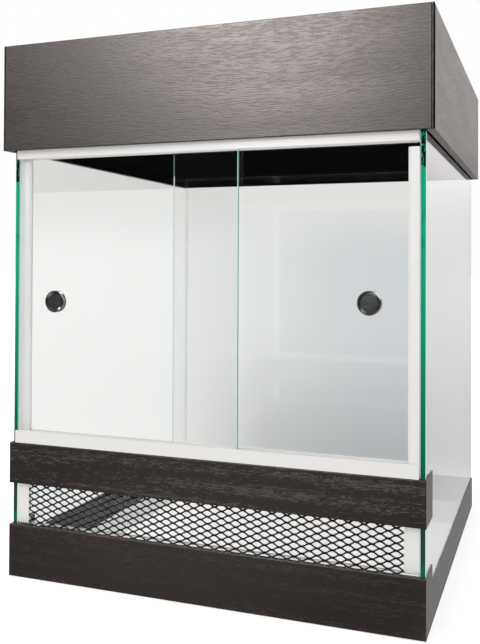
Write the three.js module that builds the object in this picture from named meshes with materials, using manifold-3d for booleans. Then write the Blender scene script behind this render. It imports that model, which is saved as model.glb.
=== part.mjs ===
// Glass terrarium cabinet with two sliding front doors, a raised vent of expanded
// mesh under them, wood-grain boards at the foot and a lift-off wood-grain hood.
// Millimetres, +Z up, front towards -Y, origin on the floor under the middle of the hood.

import * as THREE from 'three';
import { mergeGeometries, mergeVertices } from 'three/addons/utils/BufferGeometryUtils.js';
import Module from 'manifold-3d';

const wasm = await Module();
wasm.setup();

// ---------------------------------------------------------------- driving sizes

// Glass tank
const tankWidth = 482;
const tankDepth = 488.5;
const paneThickness = 6;
const paneArris = 0.7;
const bondGap = 0.3; // silicone or glue line between neighbouring pieces
const seamLeg = 4; // width of a silicone bead on each of its two panes
const braceWidth = 50;

// Front, from the floor upwards
const baseHeight = 60.5;
const sillLip = 1.5; // the glass sill stands this far above the base board
const ventHeight = 48.5;
const stripHeight = 47.5;
const doorwayHeight = 319;

// Boards at the foot
const frontBoardThickness = 6;
const boardRounding = 1;
const laminateThickness = 1;
const laminateGlue = 0.1;
const returnLength = 45.5;
const skirtHeight = 42.5;

// Door tracks, jambs and doors
const trackWall = 1.8;
const channelWidth = 5;
const bottomTrackHeight = 14.2;
const topTrackHeight = 18.5;
const trackRounding = 0.6;
const doorThickness = 4;
const doorFootGap = 0.5;
const doorHeadEngagement = 4.5;
const doorSideGapLeft = 1.5;
const doorSideGapRight = 0.5;
const doorOverlap = 78.4;
const doorMeetingOffset = 4; // middle of the overlap, right of the cabinet's middle
const jambWidthLeft = 14.5;
const jambWidthRight = 11;
const jambThickness = 4.4;
const jambBevelWidth = 2.6;
const jambBevelDepth = 1.6;
const jambHeadGapLeft = 0.3;
const jambHeadGapRight = 5.6;

// Vent
const ventPostWidth = 15;
const ventPostThickness = 3.5;
const ventPostSetback = 1;
const ventPostRounding = 0.5;
const meshThickness = 1;
const meshGap = 0.3; // between the mesh and the board in front, and the pane behind
const meshHem = 6; // solid edge held between the boards and the panes behind them
const meshLongPitch = 20;
const meshShortPitch = 8.6;
const meshStrand = 1.5;
const meshLeastEdge = 0.3; // shorter edges of a cut gap are left out
const meshBorder = 1.2; // least distance from a gap to an end of the mesh

// Knobs
const knobDiameter = 25;
const knobFlangeThickness = 2;
const knobNeckDiameter = 17;
const knobNeckLength = 1.4;
const knobCapThickness = 3.2;
const knobDishDiameter = 18;
const knobDishDepth = 1.5;
const knobEdgeRounding = 0.8;
const knobPadDiameter = 21;
const knobPadThickness = 0.5;
const knobSeatGap = 0.15;
const leftKnobInset = 61.5; // from the tank's side to the knob's middle
const rightKnobInset = 56.3;
const leftKnobRise = 164.4; // from the door's foot to the knob's middle
const rightKnobRise = 169.4;
const roundSegments = 40;

// Hood
const hoodBoard = 6;
const hoodHeight = 123.5;
const hoodOverlap = 14.8; // how far the hood comes down past the top of the glass
const hoodSideGap = 3;
const hoodFrontGap = 0.75;
const hoodRounding = 1.5;
const bandWidth = 2;
const bandRounding = 1.6;
const bandInnerRounding = 0.4;
const sideRounding = 1;
const cornerJoint = 0.8; // dark line between the front board and a side board
const battenHeight = 15;
const battenWidth = 13;
const battenEndSetback = 48;
const blockSize = 18;
const blockHeight = 75;
const blockDrop = 12; // from the hood's top panel down to a block

// Vent sheet in the top of the tank
const screenThickness = 1;
const screenLap = 12; // how far the sheet lies on each brace
const screenSideGap = 4;
const barWidth = 16;
const barThickness = 2;

// ---------------------------------------------------------------- derived places

const glassX = tankWidth / 2;
const innerX = glassX - paneThickness;
const hoodInnerX = glassX + hoodSideGap;
const hoodOuterX = hoodInnerX + hoodBoard;

const hoodDepth = 2 * hoodBoard + hoodFrontGap + frontBoardThickness + tankDepth + hoodSideGap;
const hoodFrontY = -hoodDepth / 2;
const hoodFrontInnerY = hoodFrontY + hoodBoard;
const hoodBackY = hoodDepth / 2;
const hoodBackInnerY = hoodBackY - hoodBoard;
const boardFrontY = hoodFrontInnerY + hoodFrontGap;
const glassFrontY = boardFrontY + frontBoardThickness;
const glassBackY = glassFrontY + tankDepth;
const meshFrontY = glassFrontY - bondGap + meshGap;
const frontPaneY = meshFrontY + meshThickness + meshGap;
const innerFrontY = frontPaneY + paneThickness;
const innerBackY = glassBackY - paneThickness;

const sillTopZ = baseHeight + sillLip;
const stripBottomZ = baseHeight + ventHeight;
const stripTopZ = stripBottomZ + stripHeight;
const bottomTrackZ = stripTopZ + bondGap;
const doorwayBottomZ = bottomTrackZ + bottomTrackHeight;
const doorwayTopZ = doorwayBottomZ + doorwayHeight;
const topTrackTopZ = doorwayTopZ + topTrackHeight;
const braceBottomZ = topTrackTopZ + bondGap;
const tankTopZ = braceBottomZ + paneThickness;
const hoodBottomZ = tankTopZ - hoodOverlap;
const hoodTopZ = hoodBottomZ + hoodHeight;
const hoodPanelZ = hoodTopZ - hoodBoard;

const channelSide = (channelWidth - doorThickness) / 2;
const frontChannelY = boardFrontY + trackWall;
const rearChannelY = frontChannelY + channelWidth + trackWall;
const trackDepth = 3 * trackWall + 2 * channelWidth;
const doorFootZ = bottomTrackZ + trackWall + doorFootGap;
const doorHeadZ = doorwayTopZ + doorHeadEngagement;

// ---------------------------------------------------------------- materials

const finish = (color, roughness, metalness = 0, opacity = 1) => new THREE.MeshStandardMaterial({
  color, roughness, metalness, opacity, transparent: opacity < 1,
});
const glass = () => finish(0xdfeee8, 0.05, 0, 0.35);
const blackGlass = () => finish(0x0e1010, 0.1);
const clearSilicone = () => finish(0xe6e9e6, 0.35, 0, 0.6);
const whitePlastic = () => finish(0xe9eae8, 0.35);
const darkLaminate = () => finish(0x2e2926, 0.5);
const hoodLaminate = () => finish(0x453d38, 0.5);
const paintedWood = () => finish(0x141312, 0.8);
const blackMetal = () => finish(0x0c0c0c, 0.5, 0.3);
const darkChrome = () => finish(0x4a4b4c, 0.15, 1);
const padFoam = () => finish(0x1b1b1b, 0.9);

// ---------------------------------------------------------------- geometry helpers

const part = new THREE.Group();

function add(name, material, geometry, x, y, z) {
  const mesh = new THREE.Mesh(geometry, material);
  mesh.name = name;
  mesh.position.set(x, y, z);
  part.add(mesh);
  return mesh;
}

// The two axes that a section is drawn over, in order, for each axis it is extruded along.
const sectionAxes = { x: ['y', 'z'], y: ['z', 'x'], z: ['x', 'y'] };
const unit = { x: new THREE.Vector3(), y: new THREE.Vector3(), z: new THREE.Vector3() };
new THREE.Matrix4().extractBasis(unit.x, unit.y, unit.z);

function extrudeAlong(axis, shape, length, curveSegments = 3) {
  const geometry = new THREE.ExtrudeGeometry(shape, {
    depth: length, bevelEnabled: false, curveSegments,
  });
  const [u, v] = sectionAxes[axis];
  geometry.applyMatrix4(new THREE.Matrix4().makeBasis(unit[u], unit[v], unit[axis]));
  return geometry;
}

// Rectangle about its middle. corners gives the radius of each corner, starting at
// the low-low corner and going round: low-low, high-low, high-high, low-high.
function rectangle(width, height, corners) {
  const [a, b, c, d] = corners;
  const x = width / 2;
  const y = height / 2;
  const shape = new THREE.Shape();
  shape.moveTo(-x + a, -y);
  shape.lineTo(x - b, -y);
  if (b > 0) shape.absarc(x - b, -y + b, b, -Math.PI / 2, 0);
  shape.lineTo(x, y - c);
  if (c > 0) shape.absarc(x - c, y - c, c, 0, Math.PI / 2);
  shape.lineTo(-x + d, y);
  if (d > 0) shape.absarc(-x + d, y - d, d, Math.PI / 2, Math.PI);
  shape.lineTo(-x, -y + a);
  if (a > 0) shape.absarc(-x + a, -y + a, a, Math.PI, 1.5 * Math.PI);
  return shape;
}

// A straight piece between two corners, with its long edges rounded about one axis.
function slab(name, material, low, high, axis = 'x', corners = [0, 0, 0, 0], curveSegments = 3) {
  const [u, v] = sectionAxes[axis];
  const from = new THREE.Vector3(...low);
  const to = new THREE.Vector3(...high);
  const size = to.clone().sub(from);
  const place = to.clone().add(from).divideScalar(2);
  place[axis] = from[axis];
  const shape = rectangle(size[u], size[v], corners);
  return add(name, material, extrudeAlong(axis, shape, size[axis], curveSegments), ...place);
}

// A pane with its four long edges ground to a small flat.
function pane(name, low, high, axis, material = glass()) {
  slab(name, material, low, high, axis, [paneArris, paneArris, paneArris, paneArris], 1);
}

// Left and right copies of what stands at one side of the cabinet.
const sides = [['left', -1], ['right', 1]];

// Low and high X of something between two distances from the middle, on one side.
const span = (side, near, far) => (side > 0 ? [near, far] : [-far, -near]);

// ---------------------------------------------------------------- glass tank

function makeTank() {
  const paneX = innerX - bondGap;
  pane('floor_pane',
    [-paneX, innerFrontY + bondGap, 0],
    [paneX, innerBackY - bondGap, paneThickness], 'x');
  pane('back_pane',
    [-paneX, innerBackY, 0],
    [paneX, glassBackY, tankTopZ], 'z');
  for (const [label, side] of sides) {
    const [x0, x1] = span(side, innerX, glassX);
    pane(`side_pane_${label}`, [x0, glassFrontY, 0], [x1, glassBackY, tankTopZ], 'z');
  }
  pane('sill_pane', [-paneX, frontPaneY, 0], [paneX, innerFrontY, sillTopZ], 'x');
  pane('rail_pane', [-paneX, frontPaneY, stripBottomZ], [paneX, innerFrontY, stripTopZ], 'x');
  pane('top_brace_front',
    [-paneX, boardFrontY + trackWall, braceBottomZ],
    [paneX, glassFrontY + braceWidth, tankTopZ], 'x', blackGlass());
  pane('top_brace_back',
    [-paneX, innerBackY - bondGap - braceWidth, braceBottomZ],
    [paneX, innerBackY - bondGap, tankTopZ], 'x', blackGlass());
}

// ---------------------------------------------------------------- silicone beads

function seamSection(uSide, vSide) {
  const shape = new THREE.Shape();
  const corners = [[0, 0], [uSide * seamLeg, 0], [0, vSide * seamLeg]];
  if (uSide * vSide < 0) corners.reverse();
  corners.forEach(([u, v], i) => (i ? shape.lineTo(u, v) : shape.moveTo(u, v)));
  return shape;
}

function makeSeams() {
  const edgeX = innerX - laminateGlue;
  const floorZ = paneThickness + laminateGlue;
  const frontY = innerFrontY + laminateGlue;
  const backY = innerBackY - laminateGlue;
  const clearOfNext = seamLeg + bondGap;
  for (const [label, side] of sides) {
    add(`seam_floor_${label}`, clearSilicone(),
      extrudeAlong('y', seamSection(1, -side), backY - frontY), side * edgeX, frontY, floorZ);
    add(`seam_back_${label}`, clearSilicone(),
      extrudeAlong('z', seamSection(-side, -1), braceBottomZ - floorZ - clearOfNext - bondGap),
      side * edgeX, backY, floorZ + clearOfNext);
  }
  const length = 2 * (edgeX - clearOfNext);
  add('seam_floor_front', clearSilicone(),
    extrudeAlong('x', seamSection(1, 1), length), -length / 2, frontY, floorZ);
  add('seam_floor_back', clearSilicone(),
    extrudeAlong('x', seamSection(-1, 1), length), -length / 2, backY, floorZ);
}

// ---------------------------------------------------------------- boards at the foot

function makeFrontBoard(name, bottomZ, topZ) {
  // The section runs over (Y, Z), so its two front corners are the low-low and low-high ones.
  const corners = [boardRounding, 0, 0, boardRounding];
  slab(`${name}_board`, darkLaminate(),
    [-glassX, boardFrontY, bottomZ],
    [glassX, glassFrontY - bondGap, topZ], 'x', corners);
  for (const [label, side] of sides) {
    const [x0, x1] = span(side, glassX + laminateGlue, glassX + laminateGlue + laminateThickness);
    slab(`${name}_return_${label}`, darkLaminate(),
      [x0, boardFrontY, bottomZ], [x1, boardFrontY + returnLength, topZ], 'z');
  }
}

function makeBoards() {
  makeFrontBoard('base', 0, baseHeight);
  makeFrontBoard('strip', stripBottomZ, stripTopZ);
  const outerX = glassX + laminateGlue + laminateThickness;
  const backSkirtY = glassBackY + laminateGlue;
  for (const [label, side] of sides) {
    const [x0, x1] = span(side, glassX + laminateGlue, outerX);
    slab(`base_skirt_${label}`, darkLaminate(),
      [x0, boardFrontY + returnLength + laminateGlue, 0], [x1, backSkirtY, skirtHeight], 'y');
  }
  slab('base_skirt_back', darkLaminate(),
    [-outerX, backSkirtY + laminateGlue, 0],
    [outerX, backSkirtY + laminateGlue + laminateThickness, skirtHeight], 'x');
}

// ---------------------------------------------------------------- door tracks

// Section of a track over (Y, Z): a floor with three lips, pointing up or down.
function trackSection(height, up) {
  const lipPitch = channelWidth + trackWall;
  const lips = [lipPitch + lipPitch, lipPitch, 0];
  const points = [[0, 0], [trackDepth, 0]];
  lips.forEach((near, i) => {
    const far = near + trackWall;
    if (i > 0) points.push([far, trackWall]);
    points.push([far, height - trackRounding]);
    points.push([far - trackRounding, height]);
    points.push([near + trackRounding, height]);
    points.push([near, height - trackRounding]);
    if (near > 0) points.push([near, trackWall]);
  });
  const outline = points.map(([y, z]) => new THREE.Vector2(y, up ? z : -z));
  if (!up) outline.reverse();
  return new THREE.Shape(outline);
}

function makeTracks() {
  const halfLength = innerX - bondGap;
  add('track_bottom', whitePlastic(),
    extrudeAlong('x', trackSection(bottomTrackHeight, true), 2 * halfLength),
    -halfLength, boardFrontY, bottomTrackZ);
  add('track_top', whitePlastic(),
    extrudeAlong('x', trackSection(topTrackHeight, false), 2 * halfLength),
    -halfLength, boardFrontY, topTrackTopZ);
}

// ---------------------------------------------------------------- jambs and vent posts

// Section over (X, Y) of a jamb whose inner front edge is bevelled. It starts at the glass.
function jambSection(side, width) {
  const points = [
    [0, 0], [width - jambBevelWidth, 0], [width, jambBevelDepth],
    [width, jambThickness], [0, jambThickness],
  ];
  const outline = points.map(([x, y]) => new THREE.Vector2(-side * x, y));
  if (side > 0) outline.reverse();
  return new THREE.Shape(outline);
}

function makeJambs() {
  const footZ = bottomTrackZ + trackWall + bondGap;
  const play = (channelWidth - jambThickness) / 2;
  const places = {
    left: [rearChannelY + play, jambWidthLeft, jambHeadGapLeft],
    right: [frontChannelY + play, jambWidthRight, jambHeadGapRight],
  };
  for (const [label, side] of sides) {
    const [y, width, headGap] = places[label];
    add(`jamb_${label}`, whitePlastic(),
      extrudeAlong('z', jambSection(side, width), doorwayTopZ - headGap - footZ),
      side * (innerX - bondGap), y, footZ);
  }
}

function makeVentPosts() {
  const y = glassFrontY + ventPostSetback;
  const corners = [ventPostRounding, ventPostRounding, ventPostRounding, ventPostRounding];
  for (const [label, side] of sides) {
    const outer = innerX - bondGap;
    const [x0, x1] = span(side, outer - ventPostWidth, outer);
    slab(`vent_post_${label}`, whitePlastic(),
      [x0, y, sillTopZ + bondGap],
      [x1, y + ventPostThickness, stripBottomZ - bondGap], 'z', corners);
  }
}

// ---------------------------------------------------------------- expanded mesh

// Part of a convex outline on the side of a line where keep(point) is not negative.
function clip(outline, keep) {
  const result = [];
  outline.forEach((point, i) => {
    const next = outline[(i + 1) % outline.length];
    const a = keep(point);
    const b = keep(next);
    if (a >= 0) result.push(point);
    if (a * b < 0) result.push(point.clone().lerp(next, a / (a - b)));
  });
  return result.filter((point, i) => (
    point.distanceTo(result[(i + 1) % result.length]) > meshLeastEdge
  ));
}

// The gaps of a sheet cut and stretched into diamonds: every second row is shifted by
// half a pitch.
function meshGaps(openHeight, openWidth) {
  const gaps = [];
  const limitU = openHeight / 2;
  const limitV = openWidth / 2;
  const slope = Math.hypot(meshLongPitch, meshShortPitch) / 2;
  const halfShort = meshShortPitch / 2 - (meshStrand * slope) / meshLongPitch;
  const halfLong = meshLongPitch / 2 - (meshStrand * slope) / meshShortPitch;
  const smallestGap = meshStrand * meshStrand;
  const rows = Math.ceil(openHeight / meshShortPitch) * 2;
  const columns = Math.ceil(openWidth / meshLongPitch) + 1;
  for (let row = -rows; row <= rows; row += 1) {
    for (let column = -columns; column <= columns; column += 1) {
      const u = (row * meshShortPitch) / 2;
      const v = (column + (row % 2 ? 0.5 : 0)) * meshLongPitch;
      let gap = [
        new THREE.Vector2(u - halfShort, v),
        new THREE.Vector2(u, v - halfLong),
        new THREE.Vector2(u + halfShort, v),
        new THREE.Vector2(u, v + halfLong),
      ];
      gap = clip(gap, (p) => p.x + limitU);
      gap = clip(gap, (p) => limitU - p.x);
      gap = clip(gap, (p) => p.y + limitV);
      gap = clip(gap, (p) => limitV - p.y);
      if (gap.length > 2 && Math.abs(THREE.ShapeUtils.area(gap)) > smallestGap) {
        gaps.push(new THREE.Shape(gap));
      }
    }
  }
  return gaps;
}

function solidOf(geometry) {
  geometry.deleteAttribute('normal');
  geometry.deleteAttribute('uv');
  const merged = mergeVertices(geometry);
  return new wasm.Manifold(new wasm.Mesh({
    numProp: 3,
    vertProperties: new Float32Array(merged.attributes.position.array),
    triVerts: new Uint32Array(merged.index.array),
  }));
}

function geometryOf(solid) {
  const mesh = solid.getMesh();
  const geometry = new THREE.BufferGeometry();
  geometry.setAttribute('position', new THREE.BufferAttribute(mesh.vertProperties, 3));
  geometry.setIndex(new THREE.BufferAttribute(mesh.triVerts, 1));
  geometry.computeVertexNormals();
  return geometry;
}

function makeVentMesh() {
  const width = 2 * (innerX - ventPostWidth - 2 * bondGap);
  const outline = rectangle(ventHeight + 2 * meshHem, width, [0, 0, 0, 0]);
  const sheet = solidOf(extrudeAlong('y', outline, meshThickness));
  // The cutters stand out of the sheet by its own thickness on both sides.
  const cutterDepth = 3 * meshThickness;
  const cutters = meshGaps(ventHeight, width - 2 * meshBorder)
    .map((gap) => extrudeAlong('y', gap, cutterDepth).translate(0, -meshThickness, 0));
  const cut = sheet.subtract(solidOf(mergeGeometries(cutters)));
  add('vent_mesh', blackMetal(), geometryOf(cut), 0, meshFrontY, baseHeight + ventHeight / 2);
}

// ---------------------------------------------------------------- sliding doors

// A body turned about the door's normal: profile points are (radius, distance to the front).
function turned(name, material, profile, x, y, z) {
  const outline = profile.map(([radius, depth]) => new THREE.Vector2(radius, depth));
  const geometry = new THREE.LatheGeometry(outline, roundSegments);
  geometry.rotateX(Math.PI);
  return add(name, material, geometry, x, y, z);
}

function makeKnob(label, x, doorFrontY, z) {
  const padR = knobPadDiameter / 2;
  const rimR = knobDiameter / 2;
  const neckR = knobNeckDiameter / 2;
  const dishR = knobDishDiameter / 2;
  const r = knobEdgeRounding;
  const padY = doorFrontY - knobSeatGap;
  turned(`${label}_knob_pad`, padFoam(),
    [[0, 0], [padR, 0], [padR, knobPadThickness], [0, knobPadThickness]], x, padY, z);

  const baseY = padY - knobPadThickness - knobSeatGap;
  const t = knobFlangeThickness;
  const neckFront = t + knobNeckLength;
  turned(`${label}_knob_base`, darkChrome(), [
    [0, 0], [rimR - r, 0], [rimR, r], [rimR, t - r], [rimR - r, t],
    [neckR, t], [neckR, neckFront], [0, neckFront],
  ], x, baseY, z);

  const capY = baseY - neckFront - knobSeatGap;
  const c = knobCapThickness;
  const floor = c - knobDishDepth;
  turned(`${label}_knob_cap`, darkChrome(), [
    [0, 0], [rimR - r, 0], [rimR, r], [rimR, c - r], [rimR - r, c],
    [dishR + r, c], [dishR, c - r], [dishR - knobDishDepth, floor], [0, floor],
  ], x, capY, z);
}

function makeDoors() {
  const leftEdge = -innerX + doorSideGapLeft;
  const rightEdge = innerX - doorSideGapRight;
  const leftY = frontChannelY + channelSide;
  const rightY = rearChannelY + channelSide;
  pane('left_door_pane',
    [leftEdge, leftY, doorFootZ],
    [doorMeetingOffset + doorOverlap / 2, leftY + doorThickness, doorHeadZ], 'z');
  pane('right_door_pane',
    [doorMeetingOffset - doorOverlap / 2, rightY, doorFootZ],
    [rightEdge, rightY + doorThickness, doorHeadZ], 'z');
  makeKnob('left', leftKnobInset - glassX, leftY, doorFootZ + leftKnobRise);
  makeKnob('right', glassX - rightKnobInset, rightY, doorFootZ + rightKnobRise);
}

// ---------------------------------------------------------------- hood

function makeHoodShell() {
  const boardX = hoodOuterX - bandWidth - laminateGlue;
  slab('hood_front', hoodLaminate(),
    [-boardX, hoodFrontY, hoodBottomZ],
    [boardX, hoodFrontInnerY, hoodTopZ], 'x', [hoodRounding, 0, 0, hoodRounding]);
  for (const [label, side] of sides) {
    // Over (X, Y): the rounded corners are the outer front one and the outer back one.
    const round = side > 0
      ? [0, bandRounding, bandInnerRounding, 0]
      : [bandRounding, 0, 0, bandInnerRounding];
    const [bandLow, bandHigh] = span(side, hoodOuterX - bandWidth, hoodOuterX);
    slab(`hood_front_band_${label}`, hoodLaminate(),
      [bandLow, hoodFrontY, hoodBottomZ], [bandHigh, hoodFrontInnerY, hoodTopZ], 'z', round);
    const sideRound = side > 0
      ? [0, sideRounding, sideRounding, 0]
      : [sideRounding, 0, 0, sideRounding];
    const [x0, x1] = span(side, hoodInnerX, hoodOuterX);
    slab(`hood_side_${label}`, hoodLaminate(),
      [x0, hoodFrontInnerY + cornerJoint, hoodBottomZ], [x1, hoodBackY, hoodTopZ], 'z', sideRound);
  }
  const panelX = hoodInnerX - bondGap;
  slab('hood_back', hoodLaminate(),
    [-panelX, hoodBackInnerY, hoodBottomZ], [panelX, hoodBackY, hoodTopZ], 'x');
  slab('hood_top', hoodLaminate(),
    [-panelX, hoodFrontInnerY + bondGap, hoodPanelZ],
    [panelX, hoodBackInnerY - bondGap, hoodTopZ], 'x');
}

function makeHoodFraming() {
  const outer = hoodInnerX - bondGap;
  const battenZ = tankTopZ + bondGap;
  const blockTopZ = hoodPanelZ - blockDrop;
  for (const [label, side] of sides) {
    const [b0, b1] = span(side, outer - battenWidth, outer);
    slab(`hood_batten_${label}`, paintedWood(),
      [b0, hoodFrontInnerY + battenEndSetback, battenZ],
      [b1, hoodBackInnerY - battenEndSetback, battenZ + battenHeight], 'y');
    const [x0, x1] = span(side, outer - blockSize, outer);
    const blockSpans = {
      front: [hoodFrontInnerY + bondGap, hoodFrontInnerY + bondGap + blockSize],
      back: [hoodBackInnerY - bondGap - blockSize, hoodBackInnerY - bondGap],
    };
    for (const [end, [y0, y1]] of Object.entries(blockSpans)) {
      slab(`hood_block_${end}_${label}`, paintedWood(),
        [x0, y0, blockTopZ - blockHeight], [x1, y1, blockTopZ], 'z');
    }
  }
}

// ---------------------------------------------------------------- vent sheet on the tank

function makeTopVent() {
  const sheetX = hoodInnerX - bondGap - battenWidth - screenSideGap;
  const frontY = glassFrontY + braceWidth - screenLap;
  const backY = innerBackY - bondGap - braceWidth + screenLap;
  const sheetZ = tankTopZ + bondGap;
  const barZ = sheetZ + screenThickness + laminateGlue;
  slab('vent_screen', blackMetal(),
    [-sheetX, frontY, sheetZ], [sheetX, backY, sheetZ + screenThickness], 'x');
  slab('vent_bar_front', blackMetal(),
    [-sheetX, frontY, barZ], [sheetX, frontY + barWidth, barZ + barThickness], 'x');
  slab('vent_bar_back', blackMetal(),
    [-sheetX, backY - barWidth, barZ], [sheetX, backY, barZ + barThickness], 'x');
  for (const [label, side] of sides) {
    const [x0, x1] = span(side, sheetX - barWidth, sheetX);
    slab(`vent_bar_${label}`, blackMetal(),
      [x0, frontY + barWidth + laminateGlue, barZ],
      [x1, backY - barWidth - laminateGlue, barZ + barThickness], 'y');
  }
}

makeTank();
makeSeams();
makeBoards();
makeTracks();
makeJambs();
makeVentPosts();
makeVentMesh();
makeDoors();
makeHoodShell();
makeHoodFraming();
makeTopVent();

export default part;
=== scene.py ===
"""Looks of a glass terrarium cabinet with sliding doors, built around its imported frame."""

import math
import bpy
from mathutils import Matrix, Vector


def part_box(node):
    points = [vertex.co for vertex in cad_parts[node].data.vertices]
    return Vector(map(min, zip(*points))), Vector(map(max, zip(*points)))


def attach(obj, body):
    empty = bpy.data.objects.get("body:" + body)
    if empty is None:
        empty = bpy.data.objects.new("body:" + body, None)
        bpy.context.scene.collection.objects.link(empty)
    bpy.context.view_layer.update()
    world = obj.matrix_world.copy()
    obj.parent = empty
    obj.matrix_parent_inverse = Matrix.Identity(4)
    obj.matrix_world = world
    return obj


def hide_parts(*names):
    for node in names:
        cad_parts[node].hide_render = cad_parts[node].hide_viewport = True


bl_info = {
    "name": "Terrarium cabinet looks",
    "version": (1, 0, 0),
    "blender": (4, 5, 0),
    "location": "3D View > Sidebar > Terrarium",
    "description": "Dresses the cabinet's glass, boards, tracks, mesh, knobs and hood",
    "category": "Object",
}

import bmesh
import bpy
from bpy.props import FloatProperty, FloatVectorProperty, IntProperty, PointerProperty
from bpy.types import Operator, Panel, PropertyGroup
from mathutils import Matrix, Vector

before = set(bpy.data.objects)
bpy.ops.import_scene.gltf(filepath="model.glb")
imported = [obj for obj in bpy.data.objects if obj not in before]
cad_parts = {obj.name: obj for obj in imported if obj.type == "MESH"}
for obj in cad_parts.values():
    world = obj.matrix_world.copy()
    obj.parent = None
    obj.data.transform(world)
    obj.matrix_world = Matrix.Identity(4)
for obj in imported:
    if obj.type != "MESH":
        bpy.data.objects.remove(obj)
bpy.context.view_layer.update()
MM = 0.001


# ------------------------------------------------------------------ sizes and colours


class GlassLook(PropertyGroup):
    arris: FloatProperty(
        name="Arris", description="Width of the ground flat along each edge",
        default=0.6 * MM, unit="LENGTH")
    tint: FloatVectorProperty(
        name="Tint", description="What one face lets through of white light",
        default=(0.985, 0.993, 0.988), subtype="COLOR")
    edge: FloatVectorProperty(
        name="Edge", description="Colour of a pane seen through its edge, in full light",
        default=(0.002, 0.40, 0.22), subtype="COLOR")
    deep_edge: FloatVectorProperty(
        name="Deep edge", description="Colour of a pane seen through its edge, in the shade",
        default=(0.002, 0.14, 0.07), subtype="COLOR")
    door_edge: FloatVectorProperty(
        name="Door edge", description="Colour of a door seen through its edge",
        default=(0.09, 0.46, 0.37), subtype="COLOR")


class BoardLook(PropertyGroup):
    ground: FloatVectorProperty(
        name="Ground", description="Dark ground of the wood-grain foil",
        default=(0.020, 0.0145, 0.0115), subtype="COLOR")
    pore: FloatVectorProperty(
        name="Pore", description="Lighter flecks of the wood-grain foil",
        default=(0.066, 0.052, 0.043), subtype="COLOR")
    rounding: FloatProperty(
        name="Rounding", description="Radius of the boards' edges",
        default=0.6 * MM, unit="LENGTH")
    seam: FloatProperty(
        name="Seam", description="Open joint beside the hood's end bands",
        default=0.4 * MM, unit="LENGTH")
    lip: FloatProperty(
        name="Lip", description="How far the hood's sides step in along their foot",
        default=1.6 * MM, unit="LENGTH")
    lip_height: FloatProperty(
        name="Lip height", description="Height of that step", default=12 * MM, unit="LENGTH")


class PlasticLook(PropertyGroup):
    white: FloatVectorProperty(
        name="White", description="Colour of tracks, jambs and posts",
        default=(0.825, 0.815, 0.795), subtype="COLOR")
    rounding: FloatProperty(
        name="Rounding", description="Radius of the extrusions' edges",
        default=0.25 * MM, unit="LENGTH")


class MeshLook(PropertyGroup):
    long_pitch: FloatProperty(
        name="Long pitch", description="Long way of one diamond", default=16.3 * MM,
        unit="LENGTH")
    short_pitch: FloatProperty(
        name="Short pitch", description="Short way of one diamond", default=7.55 * MM,
        unit="LENGTH")
    strand: FloatProperty(
        name="Strand", description="Width of a strand", default=1.7 * MM, unit="LENGTH")
    bond: FloatProperty(
        name="Bond", description="Length of the joint between two strands",
        default=2.2 * MM, unit="LENGTH")
    knuckle: FloatProperty(
        name="Knuckle", description="How much wider a strand is at a joint", default=1.4)
    phase: FloatProperty(
        name="Phase", description="Shift of the pattern along the cabinet",
        default=0.0, unit="LENGTH")
    coat: FloatVectorProperty(
        name="Coat", description="Colour of the black coat", default=(0.006, 0.006, 0.007),
        subtype="COLOR")


class KnobLook(PropertyGroup):
    metal: FloatVectorProperty(
        name="Metal", description="Colour of the dark chrome", default=(0.52, 0.515, 0.51),
        subtype="COLOR")
    segments: IntProperty(
        name="Segments", description="Sides of a turned piece", default=96)


class StageLook(PropertyGroup):
    floor: FloatVectorProperty(
        name="Floor", description="Colour of the floor", default=(0.90, 0.90, 0.90),
        subtype="COLOR")
    reach: FloatProperty(
        name="Reach", description="Half the floor's width", default=40.0, unit="LENGTH")


# ------------------------------------------------------------------ node helpers


def add_node(tree, kind, inputs=None, **settings):
    """A new node whose inputs are values, or sockets to link from."""
    node = tree.nodes.new(kind)
    for key, value in settings.items():
        setattr(node, key, value)
    for socket, value in (inputs or {}).items():
        feed(tree, node.inputs[socket], value)
    return node


def feed(tree, socket, value):
    if isinstance(value, bpy.types.NodeSocket):
        tree.links.new(value, socket)
    else:
        socket.default_value = value


def math_node(tree, operation, *values, clamp=False):
    node = add_node(tree, "ShaderNodeMath", operation=operation, use_clamp=clamp)
    for i, value in enumerate(values):
        feed(tree, node.inputs[i], value)
    return node.outputs[0]


def scaled(tree, vector, factors):
    node = add_node(tree, "ShaderNodeVectorMath", {0: vector, 1: factors}, operation="MULTIPLY")
    return node.outputs[0]


def noise(tree, vector, scale, detail=2.0, roughness=0.5, distortion=0.0):
    inputs = {"Vector": vector, "Scale": scale, "Detail": detail,
              "Roughness": roughness, "Distortion": distortion}
    return add_node(tree, "ShaderNodeTexNoise", inputs).outputs["Fac"]


def ramp(tree, value, low, high, to_low=0.0, to_high=1.0):
    """value from low to high, turned smoothly into to_low to to_high."""
    inputs = {"Value": value, "From Min": low, "From Max": high,
              "To Min": to_low, "To Max": to_high}
    node = add_node(tree, "ShaderNodeMapRange", inputs, interpolation_type="SMOOTHSTEP")
    return node.outputs["Result"]


def blend_colors(tree, factor, first, second):
    node = add_node(tree, "ShaderNodeMix", data_type="RGBA")
    feed(tree, node.inputs[0], factor)
    feed(tree, node.inputs[6], first)
    feed(tree, node.inputs[7], second)
    return node.outputs[2]


def opaque(color):
    return (*color, 1.0)


def bumped(tree, height, distance, strength=1.0):
    inputs = {"Height": height, "Distance": distance, "Strength": strength}
    return add_node(tree, "ShaderNodeBump", inputs).outputs["Normal"]


def object_place(tree):
    return add_node(tree, "ShaderNodeTexCoord").outputs["Object"]


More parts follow.
